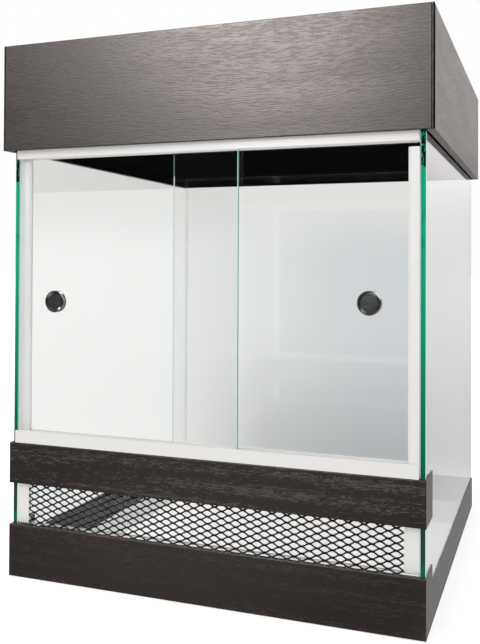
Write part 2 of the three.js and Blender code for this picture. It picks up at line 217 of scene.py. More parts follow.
def new_group(name, inputs, outputs):
    """A node group with named sockets: inputs and outputs list (name, socket type, default)."""
    group = bpy.data.node_groups.new(name, "ShaderNodeTree")
    for label, kind, default in inputs:
        socket = group.interface.new_socket(label, in_out="INPUT", socket_type=kind)
        if default is not None:
            socket.default_value = default
    for label, kind in outputs:
        group.interface.new_socket(label, in_out="OUTPUT", socket_type=kind)
    entry = group.nodes.new("NodeGroupInput")
    result = group.nodes.new("NodeGroupOutput")
    return group, entry.outputs, result.inputs


def use_group(tree, group, inputs):
    node = add_node(tree, "ShaderNodeGroup", node_tree=group)
    for socket, value in inputs.items():
        feed(tree, node.inputs[socket], value)
    return node.outputs


def new_material(name, **principled):
    """A material with one Principled shader, whose sockets are set by name."""
    material = bpy.data.materials.new(name)
    material.use_nodes = True
    tree = material.node_tree
    shader = tree.nodes["Principled BSDF"]
    for socket, value in principled.items():
        feed(tree, shader.inputs[socket.replace("_", " ")], value)
    return material, tree, shader


# ------------------------------------------------------------------ shared effects


def new_foil_group(name):
    """A node group with the sockets of a wood-grain foil."""
    return new_group(
        name,
        [("Vector", "NodeSocketVector", None), ("Ground", "NodeSocketColor", None),
         ("Pore", "NodeSocketColor", None), ("Figure", "NodeSocketFloat", 1.0)],
        [("Color", "NodeSocketColor"), ("Roughness", "NodeSocketFloat"),
         ("Height", "NodeSocketFloat")])


def fleck_grain_group():
    """Foil with light flecks in bands. Vector runs along the grain in X, across it in Z."""
    group, entry, result = new_foil_group("fleck_grain")
    place = entry["Vector"]
    band = noise(group, scaled(group, place, (3.0, 3.0, 95.0)), 1.0, 3.0, 0.6, 0.2)
    fleck = noise(group, scaled(group, place, (300.0, 300.0, 1300.0)), 1.0, 2.0, 0.65, 0.2)
    dash = noise(group, scaled(group, place, (90.0, 90.0, 1000.0)), 1.0, 2.0, 0.6, 0.2)
    mixed = math_node(group, "MULTIPLY_ADD", dash, 0.5, math_node(group, "MULTIPLY", fleck, 0.5))
    threshold = ramp(group, band, 0.34, 0.66, 0.60, 0.475)
    pores = ramp(group, math_node(group, "SUBTRACT", mixed, threshold), -0.01, 0.09)
    figured = math_node(group, "MULTIPLY", pores, entry["Figure"], clamp=True)
    feed(group, result["Color"], blend_colors(group, figured, entry["Ground"], entry["Pore"]))
    feed(group, result["Roughness"], ramp(group, figured, 0.0, 1.0, 0.42, 0.60))
    feed(group, result["Height"], math_node(group, "SUBTRACT", 1.0, pores))
    return group


def embossed_grain_group():
    """Foil with fine wavy embossing. Vector runs along the grain in X, across it in Z."""
    group, entry, result = new_foil_group("embossed_grain")
    place = entry["Vector"]
    arch = noise(group, scaled(group, place, (3.0, 3.0, 9.0)), 1.0, 1.0)
    axes = add_node(group, "ShaderNodeSeparateXYZ", {0: place}).outputs
    lifted = math_node(group, "MULTIPLY_ADD", arch, 0.05, axes[2])
    bent = add_node(group, "ShaderNodeCombineXYZ", {0: axes[0], 1: axes[1], 2: lifted}).outputs[0]
    wave = noise(group, scaled(group, bent, (70.0, 70.0, 620.0)), 1.0, 2.0, 0.55, 0.5)
    fine = noise(group, scaled(group, bent, (170.0, 170.0, 1300.0)), 1.0, 2.0, 0.6, 0.3)
    cloud = noise(group, scaled(group, bent, (6.0, 6.0, 40.0)), 1.0, 2.0)
    relief = math_node(group, "MULTIPLY_ADD", wave, 0.7, math_node(group, "MULTIPLY", fine, 0.3))
    pores = ramp(group, relief, 0.44, 0.64)
    tone = math_node(group, "MULTIPLY", pores, entry["Figure"], clamp=True)
    feed(group, result["Color"], blend_colors(group, tone, entry["Ground"], entry["Pore"]))
    rough = math_node(group, "MULTIPLY_ADD", pores, 0.06, ramp(group, cloud, 0.3, 0.7, 0.36, 0.40))
    feed(group, result["Roughness"], rough)
    feed(group, result["Height"], math_node(group, "SUBTRACT", 1.0, pores))
    return group


def wear_group():
    """Fine scratches and faint handling marks. Amount scales both."""
    group, entry, result = new_group(
        "fine_wear",
        [("Vector", "NodeSocketVector", None), ("Amount", "NodeSocketFloat", 1.0),
         ("Base", "NodeSocketFloat", 0.4)],
        [("Roughness", "NodeSocketFloat"), ("Height", "NodeSocketFloat")])
    place = entry["Vector"]
    smudge = noise(group, place, 22.0, 3.0, 0.6)
    scratch = noise(group, scaled(group, place, (40.0, 40.0, 900.0)), 1.0, 2.0, 0.7, 0.4)
    grain = noise(group, place, 1500.0, 2.0)
    marks = ramp(group, scratch, 0.60, 0.74)
    spread = math_node(group, "MULTIPLY", math_node(group, "SUBTRACT", smudge, 0.5), 0.22)
    uneven = math_node(group, "MULTIPLY_ADD", marks, 0.12, spread)
    feed(group, result["Roughness"], math_node(
        group, "MULTIPLY_ADD", uneven, entry["Amount"], entry["Base"], clamp=True))
    feed(group, result["Height"], math_node(
        group, "MULTIPLY", math_node(group, "ADD", grain, marks), entry["Amount"]))
    return group


# ------------------------------------------------------------------ materials


def glass_material(look, name, roughness=0.0):
    """Clear glass. Light on its way to other surfaces passes straight through."""
    material, tree, shader = new_material(
        name, Base_Color=opaque(look.tint), Roughness=roughness, IOR=1.5,
        Transmission_Weight=1.0)
    output = tree.nodes["Material Output"]
    path = add_node(tree, "ShaderNodeLightPath").outputs
    straight = math_node(tree, "MAXIMUM", path["Is Shadow Ray"], path["Is Diffuse Ray"])
    clear = add_node(tree, "ShaderNodeBsdfTransparent", {"Color": (0.965, 0.97, 0.968, 1)})
    mix = add_node(tree, "ShaderNodeMixShader", {
        0: straight, 1: shader.outputs[0], 2: clear.outputs[0]})
    tree.links.new(mix.outputs[0], output.inputs["Surface"])
    return material


EDGE_SHADE_HEIGHTS = (0.14, 0.42)  # painted shade: between them the edges turn from the deep green of their shade to the light green of full light
DARK_REFLECTION_HEIGHTS = (0.4635, 0.4645)  # above them painted dark reflections break the edges
# Painted reflection: beside the vent the edges turn a dark grey green, between the heights below.
VENT_FOOT = (0.070, 0.078)  # the edges darken between these, beside the vent,
VENT_HEAD = (0.135, 0.110)  # and also downwards between these
VENT_REFLECTION_COLOR = (0.018, 0.052, 0.042, 1)


def tank_edge_material(look, name, clear_inside=False):
    """Edges of the tank's panes: green, with painted shade deepening the green towards the foot.
    The dark breaks near the hood and beside the vent are painted reflections at fixed heights,
    where the photograph shows them.
    clear_inside lets light that is already in the glass out through the edge."""
    material, tree, shader = new_material(name, Roughness=0.12, IOR=1.5)
    if clear_inside:
        inner = add_node(tree, "ShaderNodeNewGeometry").outputs["Backfacing"]
        feed(tree, shader.inputs["Alpha"], math_node(tree, "SUBTRACT", 1.0, inner))
    place = object_place(tree)
    height = add_node(tree, "ShaderNodeSeparateXYZ", {0: place}).outputs[2]
    color = blend_colors(tree, ramp(tree, height, *EDGE_SHADE_HEIGHTS),
                         opaque(look.deep_edge), opaque(look.edge))
    patch = noise(tree, scaled(tree, place, (60.0, 60.0, 34.0)), 1.0, 3.0, 0.6, 0.8)
    # Painted reflection: the dark breaks under the hood take a near-black of the deep green.
    dark = [value * 0.05 for value in look.deep_edge]
    under_hood = ramp(tree, height, *DARK_REFLECTION_HEIGHTS)
    reflection_breaks = ramp(tree, noise(tree, scaled(tree, place, (260.0, 260.0, 110.0)), 1.0, 2.0,
                                0.6, 2.2), 0.62, 0.58)
    painted_reflection = math_node(tree, "MULTIPLY", under_hood, reflection_breaks)
    # Painted reflection: the band of the edges beside the vent is tinted dark.
    vent = math_node(tree, "MULTIPLY", ramp(tree, height, *VENT_FOOT),
                     ramp(tree, height, *VENT_HEAD))
    faint = math_node(tree, "MULTIPLY", ramp(tree, patch, 0.60, 0.66), 0.22)
    shade = math_node(tree, "MAXIMUM", painted_reflection, faint)
    color = blend_colors(tree, math_node(tree, "MULTIPLY", vent, 0.92), color, VENT_REFLECTION_COLOR)
    feed(tree, shader.inputs["Base Color"], blend_colors(tree, shade, color, opaque(dark)))
    return material


def door_edge_material(look):
    """Polished edges of the doors."""
    material, tree, shader = new_material("door_glass_edge", Roughness=0.08, IOR=1.5)
    place = object_place(tree)
    patch = noise(tree, scaled(tree, place, (40.0, 40.0, 9.0)), 1.0, 2.0)
    deep = [value * 0.55 for value in look.door_edge]
    feed(tree, shader.inputs["Base Color"], blend_colors(
        tree, ramp(tree, patch, 0.35, 0.65), opaque(deep), opaque(look.door_edge)))
    return material


def painted_shade_color(tree, place, color, black, shaded_above):
    """The colour up to a height, and black above it, as painted shade."""
    height = add_node(tree, "ShaderNodeSeparateXYZ", {0: place}).outputs[2]
    shade_mask = ramp(tree, height, shaded_above - 1 * MM, shaded_above)
    return blend_colors(tree, shade_mask, color, black)


def arris_material(name, shaded_above):
    """Ground flats along the glass edges, which catch the light in a pale mint line. Above a
    height they are black, as painted shade under the hood and in the top track."""
    material, tree, shader = new_material(name, IOR=1.5)
    place = object_place(tree)
    tone = ramp(tree, noise(tree, place, 240.0, 2.0), 0.3, 0.7)
    mint = blend_colors(tree, tone, (0.66, 0.90, 0.82, 1), (0.82, 0.96, 0.92, 1))
    feed(tree, shader.inputs["Base Color"], painted_shade_color(
        tree, place, mint, (0.003, 0.004, 0.004, 1), shaded_above))
    feed(tree, shader.inputs["Roughness"], ramp(tree, tone, 0.0, 1.0, 0.22, 0.38))
    return material


def faint_edge_material(name, color, alpha, shaded_above):
    """Edges that hardly show against a bright ground. Above a height they are black, as painted
    shade under the hood and in the top track."""
    material, tree, shader = new_material(name, Roughness=0.3, IOR=1.5, Alpha=alpha)
    place = object_place(tree)
    tone = ramp(tree, noise(tree, place, 120.0, 2.0), 0.3, 0.7)
    pale = blend_colors(tree, tone, opaque([value * 0.9 for value in color]), opaque(color))
    feed(tree, shader.inputs["Base Color"], painted_shade_color(
        tree, place, pale, (0.001, 0.001, 0.001, 1), shaded_above))
    return material


def ground_edge_material():
    """Edges that were only ground, pale and without gloss."""
    material, tree, shader = new_material("ground_glass_edge", Roughness=0.6, IOR=1.5)
    tone = noise(tree, object_place(tree), 400.0, 2.0)
    feed(tree, shader.inputs["Base Color"], blend_colors(
        tree, tone, (0.50, 0.52, 0.50, 1), (0.72, 0.73, 0.71, 1)))
    return material


# Black glass as braces often are, and also painted shade: it keeps the braces as dark as the shade
# under the hood.
def black_glass_material(wear):
    material, tree, shader = new_material("black_glass", IOR=1.5)
    place = object_place(tree)
    worn = use_group(tree, wear, {"Vector": place, "Amount": 0.4, "Base": 0.10})
    cloud = noise(tree, place, 40.0, 2.0)
    feed(tree, shader.inputs["Base Color"], blend_colors(
        tree, cloud, (0.003, 0.004, 0.004, 1), (0.006, 0.008, 0.007, 1)))
    feed(tree, shader.inputs["Roughness"], worn["Roughness"])
    return material


FOIL_SHEEN = (1.0, 0.91, 0.88, 1)


def laminate_material(look, name, grain, turn=(0, 0, 0), figure=1.0, relief=0.08 * MM):
    """Wood-grain foil. turn brings the grain along X."""
    material, tree, shader = new_material(name, IOR=1.5, Specular_Tint=FOIL_SHEEN)
    mapping = add_node(tree, "ShaderNodeMapping", {
        "Vector": object_place(tree), "Rotation": tuple(math.radians(angle) for angle in turn)})
    foil = use_group(tree, grain, {
        "Vector": mapping.outputs[0], "Ground": opaque(look.ground),
        "Pore": opaque(look.pore), "Figure": figure})
    feed(tree, shader.inputs["Base Color"], foil["Color"])
    feed(tree, shader.inputs["Roughness"], foil["Roughness"])
    feed(tree, shader.inputs["Normal"], bumped(tree, foil["Height"], relief, 0.8))
    return material


def matte_black_material(name, weave=0.0):
    """Black that stays black at a glancing view. weave is the pitch of a woven cloth."""
    material, tree, shader = new_material(name, Roughness=0.9, Specular_IOR_Level=0.0)
    place = object_place(tree)
    if weave:
        waves = scaled(tree, place, [2 * math.pi / weave] * 3)
        axes = add_node(tree, "ShaderNodeSeparateXYZ", {0: waves}).outputs
        crossing = math_node(tree, "MULTIPLY", math_node(tree, "SINE", axes[0]),
                             math_node(tree, "SINE", axes[1]))
        height = ramp(tree, crossing, -1.0, 1.0)
        depth = weave / 5
    else:
        height = noise(tree, scaled(tree, place, (60.0, 60.0, 400.0)), 1.0, 3.0)
        depth = 0.1 * MM
    feed(tree, shader.inputs["Base Color"], blend_colors(
        tree, height, (0.0005, 0.0005, 0.0005, 1), (0.0035, 0.0035, 0.0035, 1)))
    feed(tree, shader.inputs["Normal"], bumped(tree, height, depth, 0.6))
    return material


def white_plastic_material(look, wear):
    material, tree, shader = new_material("white_plastic", IOR=1.5)
    place = object_place(tree)
    worn = use_group(tree, wear, {"Vector": place, "Amount": 0.6, "Base": 0.30})
    cloud = noise(tree, scaled(tree, place, (2.0, 9.0, 9.0)), 1.0, 3.0)
    feed(tree, shader.inputs["Base Color"], blend_colors(
        tree, cloud, opaque(look.white), opaque([value * 0.95 for value in look.white])))
    feed(tree, shader.inputs["Roughness"], worn["Roughness"])
    feed(tree, shader.inputs["Normal"], bumped(tree, worn["Height"], 0.02 * MM, 0.3))
    return material


def black_coat_material(look, wear, name):
    material, tree, shader = new_material(name, IOR=1.5)
    place = object_place(tree)
    worn = use_group(tree, wear, {"Vector": place, "Amount": 1.0, "Base": 0.42})
    speck = ramp(tree, noise(tree, place, 700.0, 3.0), 0.35, 0.75)
    feed(tree, shader.inputs["Base Color"], blend_colors(
        tree, speck, opaque(look.coat), opaque([value * 2.2 for value in look.coat])))
    feed(tree, shader.inputs["Roughness"], worn["Roughness"])
    feed(tree, shader.inputs["Normal"], bumped(tree, worn["Height"], 0.05 * MM, 0.4))
    return material


def chrome_material(look, wear):
    material, tree, shader = new_material("dark_chrome", Metallic=1.0)
    place = object_place(tree)
    worn = use_group(tree, wear, {"Vector": place, "Amount": 0.5, "Base": 0.19})
    cloud = noise(tree, place, 160.0, 3.0)
    feed(tree, shader.inputs["Base Color"], blend_colors(
        tree, cloud, opaque([value * 0.8 for value in look.metal]), opaque(look.metal)))
    feed(tree, shader.inputs["Roughness"], worn["Roughness"])
    feed(tree, shader.inputs["Normal"], bumped(tree, worn["Height"], 0.01 * MM, 0.2))
    return material


def foam_material():
    material, tree, shader = new_material("pad_foam")
    cells = add_node(tree, "ShaderNodeTexVoronoi", {
        "Vector": object_place(tree), "Scale": 2600.0}).outputs["Distance"]
    feed(tree, shader.inputs["Base Color"], blend_colors(
        tree, cells, (0.010, 0.010, 0.010, 1), (0.035, 0.035, 0.035, 1)))
    shader.inputs["Roughness"].default_value = 0.9
    feed(tree, shader.inputs["Normal"], bumped(tree, cells, 0.1 * MM, 0.5))
    return material


def silicone_material():
    material, tree, shader = new_material("clear_silicone", IOR=1.41, Alpha=0.07)
    place = object_place(tree)
    ripple = noise(tree, place, 90.0, 2.0)
    feed(tree, shader.inputs["Base Color"], blend_colors(
        tree, ripple, (0.34, 0.35, 0.35, 1), (0.46, 0.47, 0.46, 1)))
    feed(tree, shader.inputs["Roughness"], ramp(tree, ripple, 0.2, 0.8, 0.20, 0.34))
    feed(tree, shader.inputs["Normal"], bumped(tree, ripple, 0.3 * MM, 0.4))
    return material


# ------------------------------------------------------------------ mesh helpers


def new_piece(name, bm, materials, body, replaced=(), smooth_angle=35.0):
    """A mesh object from bm, riding on a body and standing for the nodes it replaces."""
    bmesh.ops.recalc_face_normals(bm, faces=bm.faces)
    mesh = bpy.data.meshes.new(name)
    bm.to_mesh(mesh)
    bm.free()
    mesh.shade_smooth()
    mesh.set_sharp_from_angle(angle=math.radians(smooth_angle))
    for material in materials:
        mesh.materials.append(material)
    piece = bpy.data.objects.new(name, mesh)
    bpy.context.scene.collection.objects.link(piece)
    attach(piece, body)
    if replaced:
        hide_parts(*replaced)
    return piece


def even_shading(piece):
    modifier = piece.modifiers.new("even_shading", "WEIGHTED_NORMAL")
    modifier.keep_sharp = True
    modifier.weight = 100


def round_edges(piece, radius, segments=3):
    """Rounds the sharp edges of a node that keeps its own mesh."""
    modifier = piece.modifiers.new("rounded_edges", "BEVEL")
    modifier.width = radius
    modifier.segments = segments
    modifier.limit_method = "ANGLE"
    modifier.angle_limit = math.radians(40)
    modifier.harden_normals = True


def finish_node(name, material, radius=0.0, segments=3):
    """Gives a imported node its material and, where asked, rounded edges."""
    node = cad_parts[name]
    node.data.materials.clear()
    node.data.materials.append(material)
    if radius:
        round_edges(node, radius, segments)
    return node


def paint_side(piece, toward, material, least=0.99):
    """Gives the faces of a node that face a direction another material."""
    piece.data.materials.append(material)
    for face in piece.data.polygons:
        if face.normal.dot(Vector(toward)) > least:
            face.material_index = len(piece.data.materials) - 1


def box_mesh(low, high):
    bm = bmesh.new()
    bmesh.ops.create_cube(bm, size=1.0)
    size = high - low
    bmesh.ops.scale(bm, vec=size, verts=bm.verts)
    bmesh.ops.translate(bm, vec=(low + high) / 2, verts=bm.verts)
    return bm


# ------------------------------------------------------------------ pieces


FACE, EDGE, ARRIS, OTHER_EDGE = range(4)


def make_pane(node, thin_axis, body, materials, look, shown=None):
    """A pane of two faces and four edges, with a ground flat along every corner.
    materials are those of the faces, the edges and the flats, and of the edges that don't
    face towards shown."""
    low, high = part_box(node)
    bm = box_mesh(low, high)
    bmesh.ops.bevel(bm, geom=bm.edges[:], offset=look.arris, offset_type="OFFSET",
                    segments=1, profile=0.5, affect="EDGES")
    bm.normal_update()
    for face in bm.faces:
        steep = [abs(value) > 0.99 for value in face.normal]
        if not any(steep):
            face.material_index = ARRIS
        elif not steep[thin_axis]:
            face.material_index = EDGE
        if shown and face.material_index != FACE and face.normal.dot(shown) < 0.5:
            face.material_index = OTHER_EDGE
    return new_piece(f"{node}_glass", bm, materials, body, [node], 20.0)


X, Y, Z = range(3)


class TERRARIUM_OT_glass(Operator):
    """Makes the tank's panes, the black braces and the doors' panes"""

    bl_idname = "terrarium.glass"
    bl_label = "Glass"

    def execute(self, context):
        look = context.scene.terrarium_glass
        clear = glass_material(look, "clear_glass")
        hood_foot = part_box("hood_front")[0].z
        arris = arris_material("tank_arris", hood_foot)
        tank_edge = tank_edge_material(look, "tank_glass_edge")
        back_edge = tank_edge_material(look, "tank_back_edge", True)
        bonded = faint_edge_material("bonded_glass_edge", (0.55, 0.62, 0.58), 0.10, hood_foot)
        for side in ("left", "right"):
            make_pane(f"side_pane_{side}", X, "cabinet",
                      [clear, tank_edge, arris, back_edge], look, Vector((0, -1, 0)))
        make_pane("back_pane", Y, "cabinet", [clear, bonded, bonded], look)
        ground = ground_edge_material()
        for node in ("sill_pane", "rail_pane"):
            make_pane(node, Y, "cabinet", [clear, ground, ground], look)
        hazed = glass_material(look, "hazed_glass", 0.10)
        make_pane("floor_pane", Z, "cabinet", [hazed, tank_edge, arris], look)
        door_edge = door_edge_material(look)
        door_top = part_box("right_door_pane")[1].z
        door_arris = arris_material("door_arris", door_top)
        faint = faint_edge_material("faint_door_edge", (0.52, 0.78, 0.70), 0.30, door_top)
        for side, edges in (("left", [door_edge, door_arris]), ("right", [faint, faint])):
            make_pane(f"{side}_door_pane", Y, f"{side}_door",
                      [clear, *edges], look)
        black = black_glass_material(shared_group("fine_wear", wear_group))
        for end in ("front", "back"):
            make_pane(f"top_brace_{end}", Z, "cabinet", [black] * 3, look)
        return {"FINISHED"}


class TERRARIUM_OT_silicone(Operator):
    """Finishes the silicone beads along the tank's inner corners"""

    bl_idname = "terrarium.silicone"
    bl_label = "Silicone beads"

    def execute(self, context):
        bead = silicone_material()
        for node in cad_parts:
            if node.startswith("seam_"):
                finish_node(node, bead)
        return {"FINISHED"}


class TERRARIUM_OT_foot_boards(Operator):
    """Finishes the boards round the foot and under the doors"""

    bl_idname = "terrarium.foot_boards"
    bl_label = "Foot boards"

    def execute(self, context):
        look = context.scene.terrarium_boards
        grain = shared_group("fleck_grain", fleck_grain_group)
        along_x = laminate_material(look, "strip_laminate", grain)
        plain = laminate_material(look, "base_laminate", grain, figure=0.36, relief=0.02 * MM)
        along_y = laminate_material(look, "skirt_laminate", grain, (0, 0, 90), 0.2, 0.01 * MM)
        finish_node("strip_board", along_x, look.rounding)
        finish_node("base_board", plain, look.rounding)
        # Painted shade: the skirts' inner faces are near-black for the dark inside the base,
        # behind the vent.
        inside = matte_black_material("skirt_inside_shade")
        paint_side(finish_node("base_skirt_back", plain), (0, -1, 0), inside)
        for side, inward in (("left", (1, 0, 0)), ("right", (-1, 0, 0))):
            for piece in ("strip_return", "base_return", "base_skirt"):
                node = finish_node(f"{piece}_{side}", along_y)
                paint_side(node, inward, inside)
        return {"FINISHED"}


class TERRARIUM_OT_white_trim(Operator):
    """Finishes the door tracks, the jambs and the vent's posts"""

    bl_idname = "terrarium.white_trim"
    bl_label = "Tracks, jambs and posts"

    def execute(self, context):
        look = context.scene.terrarium_plastic
        plastic = white_plastic_material(look, shared_group("fine_wear", wear_group))
        for node in ("track_bottom", "track_top", "jamb_left", "jamb_right",
                     "vent_post_left", "vent_post_right"):
            finish_node(node, plastic, look.rounding)
        return {"FINISHED"}


def strand_path(look, row, reach):
    """Points (x, z, width) of one strand, which zigzags between its two neighbours."""
    half = look.long_pitch / 2
    rise = look.short_pitch / 4
    flat = look.bond / 2
    shoulder = flat + look.strand
    slope = 2 * rise / (half - 2 * flat)
    points = []
    count = math.ceil(reach / half) + 1
    for step in range(-count, count + 1):
        x = step * half + look.phase
        side = 1 if (step + row) % 2 else -1
        z = row * look.short_pitch / 2 + side * rise
        lower = z - side * slope * (shoulder - flat)
        wide = look.strand * look.knuckle
        points.append((x - shoulder, lower, look.strand))
        points.append((x - flat, z, wide))
        points.append((x + flat, z, wide))
        points.append((x + shoulder, lower, look.strand))
    return [point for point in points if abs(point[0]) <= reach]


def make_strand(bm, path, middle_y, depth, side_z):
    """A bar of rectangular section along the path, with small chamfers."""
    half_d = depth / 2
    rings = []
    for i, (x, z, width) in enumerate(path):
        half_w = width / 2
        before = Vector(path[max(i - 1, 0)][:2])
        after = Vector(path[min(i + 1, len(path) - 1)][:2])
        along = (after - before).normalized()
        normal = Vector((-along.y, along.x))
        ring = []
        for u, v in ((-1, -0.55), (-0.55, -1), (0.55, -1), (1, -0.55),
                     (1, 0.55), (0.55, 1), (-0.55, 1), (-1, 0.55)):
            offset = normal * (u * half_w)
            ring.append(bm.verts.new((x + offset.x, middle_y + v * half_d, z + side_z + offset.y)))
        rings.append(ring)
    for first, second in zip(rings, rings[1:]):
        for i in range(len(first)):
            j = (i + 1) % len(first)
            bm.faces.new((first[i], first[j], second[j], second[i]))
    bm.faces.new(rings[0])
    bm.faces.new(reversed(rings[-1]))


class TERRARIUM_OT_vent_mesh(Operator):
    """Makes the expanded-metal mesh of the front vent"""

    bl_idname = "terrarium.vent_mesh"
    bl_label = "Vent mesh"

    def execute(self, context):
        look = context.scene.terrarium_mesh
        low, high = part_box("vent_mesh")
        middle = (low + high) / 2
        reach = (high.x - low.x) / 2
        rows = int((high.z - low.z) / look.short_pitch) - 1
        bm = bmesh.new()
        for row in range(-rows, rows + 1):
            path = strand_path(look, row, reach)
            make_strand(bm, path, middle.y, high.y - low.y, middle.z)
        coat = black_coat_material(look, shared_group("fine_wear", wear_group), "mesh_coat")
        new_piece("vent_mesh_expanded", bm, [coat], "cabinet", ["vent_mesh"], 30.0)
        return {"FINISHED"}


class TERRARIUM_OT_top_vent(Operator):
    """Finishes the vent sheet and its bars in the top of the tank"""

    bl_idname = "terrarium.top_vent"
    bl_label = "Top vent"

    def execute(self, context):
        woven = matte_black_material("vent_weave", 1.6 * MM)
        painted = matte_black_material("vent_bar_paint")
        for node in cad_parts:
            if node == "vent_screen":
                finish_node(node, woven)
            elif node.startswith("vent_bar"):
                finish_node(node, painted, 0.2 * MM, 2)
        return {"FINISHED"}


def turned_mesh(profile, centre, segments):
    """A body turned about Y: profile lists (radius, distance towards the front)."""
    bm = bmesh.new()
    rings = []
    for radius, depth in profile:
        if radius < 1e-6:
            rings.append([bm.verts.new(centre + Vector((0, -depth, 0)))])
            continue
        ring = []
        for i in range(segments):
            angle = 2 * math.pi * i / segments
            place = Vector((radius * math.cos(angle), -depth, radius * math.sin(angle)))
            ring.append(bm.verts.new(centre + place))
        rings.append(ring)
    for first, second in zip(rings, rings[1:]):
        for i in range(segments):
            j = (i + 1) % segments
            corners = [first[i % len(first)], first[j % len(first)],
                       second[j % len(second)], second[i % len(second)]]
            unique = list(dict.fromkeys(corners))
            if len(unique) > 2:
                bm.faces.new(unique)
    return bm


def arc(centre_r, centre_d, radius, start, end, steps=6):
    """Points (radius, depth) of an arc, with its angles in degrees from outwards to frontwards."""
    points = []
    for i in range(steps + 1):
        angle = math.radians(start + (end - start) * i / steps)
        points.append((centre_r + radius * math.cos(angle), centre_d + radius * math.sin(angle)))
    return points


def make_knob(side, look, chrome, foam):
    body = f"{side}_door"
    for part, material, slot in (("pad", foam, "foam_pad"), ("base", chrome, "dark_chrome"),
                                 ("cap", chrome, "dark_chrome")):
        node = f"{side}_knob_{part}"
        low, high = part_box(node)
        centre = Vector(((low.x + high.x) / 2, high.y, (low.z + high.z) / 2))
        radius = (high.x - low.x) / 2
        depth = high.y - low.y
        profile = KNOB_PROFILES[part](radius, depth)
        bm = turned_mesh(profile, centre, look.segments)
        new_piece(f"{node}_turned", bm, [material], body, [node], 28.0)


def pad_profile(radius, depth):
    return [(0, 0), *arc(radius - 0.1 * MM, 0.1 * MM, 0.1 * MM, -90, 0, 2),
            *arc(radius - 0.1 * MM, depth - 0.1 * MM, 0.1 * MM, 0, 90, 2), (0, depth)]


def base_profile(radius, depth):
    flange, edge, neck, fillet = 2.0 * MM, 0.7 * MM, 8.5 * MM, 0.3 * MM
    return [(0, 0), (radius - edge, 0), *arc(radius - edge, edge, edge, -90, 0),
            *arc(radius - edge, flange - edge, edge, 0, 90),
            (neck + fillet, flange), (neck, flange + fillet), (neck, depth), (0, depth)]


def cap_profile(radius, depth):
    edge, bevel, rise, rim = 0.4 * MM, 0.9 * MM, 1.05 * MM, 1.5 * MM
    slope, dish = 1.9 * MM, 1.3 * MM
    step, lead = 0.08 * MM, 0.14 * MM  # breaks the corner between the edge and the bevel
    crown, run = 0.10 * MM, 0.15 * MM  # breaks the corner between the bevel and the rim
    return [(0, 0), (radius - edge, 0), *arc(radius - edge, edge, edge, -90, 0, 4),
            (radius, depth - rise), (radius - step, depth - rise + lead),
            (radius - bevel, depth - crown), (radius - bevel - run, depth),
            (radius - rim, depth), (radius - rim - slope, depth - dish), (0, depth - dish)]


KNOB_PROFILES = {"pad": pad_profile, "base": base_profile, "cap": cap_profile}


class TERRARIUM_OT_knobs(Operator):
    """Makes the turned knobs of both doors"""

    bl_idname = "terrarium.knobs"
    bl_label = "Door knobs"

    def execute(self, context):
        look = context.scene.terrarium_knobs
        chrome = chrome_material(look, shared_group("fine_wear", wear_group))
        foam = foam_material()
        for side in ("left", "right"):
            make_knob(side, look, chrome, foam)
        return {"FINISHED"}


INSIDE = 1  # the material slot of a hood board's near-black inner faces, painted shade inside the hood
HOOD_BOARDS = {
    "hood_front": ((0, 1, 0), (0, 0, 0)),
    "hood_back": ((0, -1, 0), (0, 0, 0)),
    "hood_top": ((0, 0, -1), (90, 0, 0)),
    "hood_side_left": ((1, 0, 0), (0, 0, 90)),
    "hood_side_right": ((-1, 0, 0), (0, 0, 90)),
}


def add_foot_lip(bm, low, high, inward, look):
    """A narrow step along the foot of a side board, towards the tank."""
    inner = high.x if inward[X] > 0 else low.x
    edges = sorted((inner, inner + inward[X] * look.lip))
    step = box_mesh(Vector((edges[0], low.y + look.rounding, low.z)),
                    Vector((edges[1], high.y - look.rounding, low.z + look.lip_height)))
    step.normal_update()
    for face in step.faces:
        if face.normal.dot(Vector(inward)) > 0.5 or face.normal.z > 0.5:
            face.material_index = INSIDE
    mesh = bpy.data.meshes.new("foot_lip")
    step.to_mesh(mesh)
    step.free()
    bm.from_mesh(mesh)
    bpy.data.meshes.remove(mesh)


def make_hood_board(node, inward, foil, inside, look):
    """A board with rounded edges, whose inward face is near-black as painted shade."""
    low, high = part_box(node)
    if node == "hood_front":
        low.x += look.seam
        high.x -= look.seam
    bm = box_mesh(low, high)
    bmesh.ops.bevel(bm, geom=bm.edges[:], offset=look.rounding, offset_type="OFFSET",
                    segments=3, profile=0.5, affect="EDGES")
    bm.normal_update()
    for face in bm.faces:
        if face.normal.dot(Vector(inward)) > 0.99:
            face.material_index = INSIDE
    if node.startswith("hood_side"):
        add_foot_lip(bm, low, high, inward, look)
    piece = new_piece(f"{node}_board", bm, [foil, inside], "hood", [node], 60.0)
    even_shading(piece)


class TERRARIUM_OT_hood(Operator):
    """Makes the hood's boards and finishes its end bands and inner framing"""

    bl_idname = "terrarium.hood"
    bl_label = "Hood"

    def execute(self, context):
        look = context.scene.terrarium_boards
        grain = shared_group("embossed_grain", embossed_grain_group)
        # Painted shade: the boards' inner faces, the battens and the blocks are near-black for the
        # dark inside the hood.
        inside = matte_black_material("hood_inside_shade")
        for node, (inward, turn) in HOOD_BOARDS.items():
            foil = laminate_material(look, f"{node}_laminate", grain, turn, 0.18, 0.05 * MM)
            make_hood_board(node, inward, foil, inside, look)
        band = laminate_material(look, "hood_band_laminate", grain, (0, 90, 0), 1.0, 0.02 * MM)
        for side, outward in (("left", (-1, 0, 0)), ("right", (1, 0, 0))):
            end_band = finish_node(f"hood_front_band_{side}", band, 0.3 * MM, 2)
            # Painted shade: the bands' outer end faces are near-black, as the shadow in the gap
            # beside the side boards.
            paint_side(end_band, outward, inside, 0.7)
            finish_node(f"hood_batten_{side}", inside, 0.4 * MM, 2)
            for end in ("front", "back"):
                finish_node(f"hood_block_{end}_{side}", inside, 0.4 * MM, 2)
        return {"FINISHED"}


